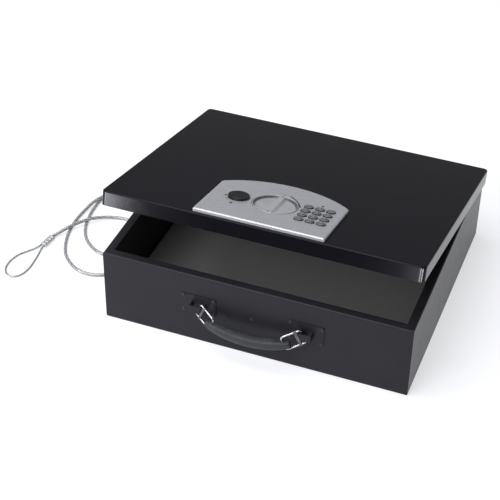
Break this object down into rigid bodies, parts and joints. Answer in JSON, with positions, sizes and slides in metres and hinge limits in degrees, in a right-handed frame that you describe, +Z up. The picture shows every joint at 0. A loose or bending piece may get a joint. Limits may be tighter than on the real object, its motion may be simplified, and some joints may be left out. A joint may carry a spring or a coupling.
{
  "type": "security box",
  "caption": "Steel security box for a laptop or documents: hinged pan lid standing ajar, electronic lock with keypad and turning knob, strap handle and tether cable.",
  "frame": {"origin": "on the underside of the case, below the middle of its width and depth", "axes": "+X to the right seen from the front, along the hinge; -Y to the front, where the handle is; +Z up"},
  "size_m": [0.6042, 0.4055, 0.2042],
  "materials": {
    "black_paint": "satin powder coat",
    "felt": "felt",
    "steel": "plain steel",
    "zinc": "zinc plated",
    "chrome_wire": "polished",
    "band": "dark plated",
    "black_plastic": "matte moulded",
    "grip": "satin moulded",
    "silver_plastic": "silver paint, satin",
    "key_plastic": "grey moulded",
    "rubber": "moulded",
    "board": "solder mask",
    "lens": "dark lens",
    "cable_coat": "clear coated wire rope",
    "rope": "galvanised strands",
    "aluminium": "pressed sleeve",
    "brass": "plain",
    "coil": "taped coil",
    "cell": "plain sleeve"
  },
  "bodies": {
    "case": {"case_wrap": "black_paint", "left_end": "black_paint", "right_end": "black_paint", "strike_plate": "black_paint", "floor_liner": "felt", "case_leaf": "steel", "hinge_pin": "steel", "left_bracket": "black_paint", "right_bracket": "black_paint", "front_rivets": "zinc", "cable_grommet": "rubber", "cable_stop": "aluminium", "cable": "cable_coat", "cable_ferrule": "aluminium", "cable_eye": "rope"},
    "lid": {"lid_leaf": "steel", "lid_shell": "black_paint", "lock_bezel": "silver_plastic", "key_cylinder": "zinc", "keypad_mat": "rubber", "circuit_board": "board", "status_led": "lens", "spindle_bush": "brass", "lock_housing": "black_plastic", "lock_screws": "zinc", "solenoid": "coil", "battery_holder": "black_plastic", "batteries": "cell"},
    "handle": {"left_ring": "chrome_wire", "right_ring": "chrome_wire", "ring_bands": "band", "grip_strip": "band", "handle_grip": "grip"},
    "knob": {"knob": "silver_plastic", "knob_spindle": "steel", "lock_cam": "steel"},
    "bolts": {"bolt_carriage": "zinc", "lock_bolts": "steel"},
    "plunger": {"plunger": "steel"},
    "key_cover": {"key_cover": "black_plastic"},
    "key_plug": {"key_plug": "zinc"},
    "battery_door": {"battery_door": "black_plastic"},
    "key_1": {"key_1": "key_plastic"},
    "key_2": {"key_2": "key_plastic"},
    "key_3": {"key_3": "key_plastic"},
    "key_4": {"key_4": "key_plastic"},
    "key_5": {"key_5": "key_plastic"},
    "key_6": {"key_6": "key_plastic"},
    "key_7": {"key_7": "key_plastic"},
    "key_8": {"key_8": "key_plastic"},
    "key_9": {"key_9": "key_plastic"},
    "key_10": {"key_10": "key_plastic"},
    "key_11": {"key_11": "key_plastic"},
    "key_12": {"key_12": "key_plastic"}
  },
  "joints": [
    {"name": "lid_hinge", "type": "hinge", "parent": "case", "child": "lid", "pos_m": [0, 0.18685, 0.0866], "axis": [-1, 0, 0], "range_deg": [-14, 81]},
    {"name": "handle_swing", "type": "hinge", "parent": "case", "child": "handle", "pos_m": [-0.001, -0.1891, 0.061], "axis": [-1, 0, 0], "range_deg": [0, 18]},
    {"name": "knob_turn", "type": "hinge", "parent": "lid", "child": "knob", "pos_m": [-0.0025, -0.10219, 0.1833], "axis": [0, -0.2419, -0.9703], "range_deg": [0, 90]},
    {"name": "bolt_slide", "type": "slide", "parent": "lid", "child": "bolts", "axis": [0, -0.9703, 0.2419], "range_m": [0, 0.0099]},
    {"name": "plunger_slide", "type": "slide", "parent": "lid", "child": "plunger", "axis": [0, -0.9703, 0.2419], "range_m": [0, 0.004]},
    {"name": "cover_lift", "type": "slide", "parent": "lid", "child": "key_cover", "axis": [0, 0.2419, 0.9703], "range_m": [0, 0.006]},
    {"name": "plug_turn", "type": "hinge", "parent": "lid", "child": "key_plug", "pos_m": [-0.0515, -0.10462, 0.1839], "axis": [0, 0.2419, 0.9703], "range_deg": [0, 90]},
    {"name": "door_slide", "type": "slide", "parent": "lid", "child": "battery_door", "axis": [-1, 0, 0], "range_m": [0, 0.04]},
    {"name": "key_1_press", "type": "slide", "parent": "lid", "child": "key_1", "axis": [0, -0.2419, -0.9703], "range_m": [0, 0.0008], "stiffness_N_per_m": 600},
    {"name": "key_2_press", "type": "slide", "parent": "lid", "child": "key_2", "axis": [0, -0.2419, -0.9703], "range_m": [0, 0.0008], "stiffness_N_per_m": 600},
    {"name": "key_3_press", "type": "slide", "parent": "lid", "child": "key_3", "axis": [0, -0.2419, -0.9703], "range_m": [0, 0.0008], "stiffness_N_per_m": 600},
    {"name": "key_4_press", "type": "slide", "parent": "lid", "child": "key_4", "axis": [0, -0.2419, -0.9703], "range_m": [0, 0.0008], "stiffness_N_per_m": 600},
    {"name": "key_5_press", "type": "slide", "parent": "lid", "child": "key_5", "axis": [0, -0.2419, -0.9703], "range_m": [0, 0.0008], "stiffness_N_per_m": 600},
    {"name": "key_6_press", "type": "slide", "parent": "lid", "child": "key_6", "axis": [0, -0.2419, -0.9703], "range_m": [0, 0.0008], "stiffness_N_per_m": 600},
    {"name": "key_7_press", "type": "slide", "parent": "lid", "child": "key_7", "axis": [0, -0.2419, -0.9703], "range_m": [0, 0.0008], "stiffness_N_per_m": 600},
    {"name": "key_8_press", "type": "slide", "parent": "lid", "child": "key_8", "axis": [0, -0.2419, -0.9703], "range_m": [0, 0.0008], "stiffness_N_per_m": 600},
    {"name": "key_9_press", "type": "slide", "parent": "lid", "child": "key_9", "axis": [0, -0.2419, -0.9703], "range_m": [0, 0.0008], "stiffness_N_per_m": 600},
    {"name": "key_10_press", "type": "slide", "parent": "lid", "child": "key_10", "axis": [0, -0.2419, -0.9703], "range_m": [0, 0.0008], "stiffness_N_per_m": 600},
    {"name": "key_11_press", "type": "slide", "parent": "lid", "child": "key_11", "axis": [0, -0.2419, -0.9703], "range_m": [0, 0.0008], "stiffness_N_per_m": 600},
    {"name": "key_12_press", "type": "slide", "parent": "lid", "child": "key_12", "axis": [0, -0.2419, -0.9703], "range_m": [0, 0.0008], "stiffness_N_per_m": 600}
  ],
  "couplings": [
    {"joint": "knob_turn", "follows": "bolt_slide", "rad_per_m": 158.66}
  ]
}
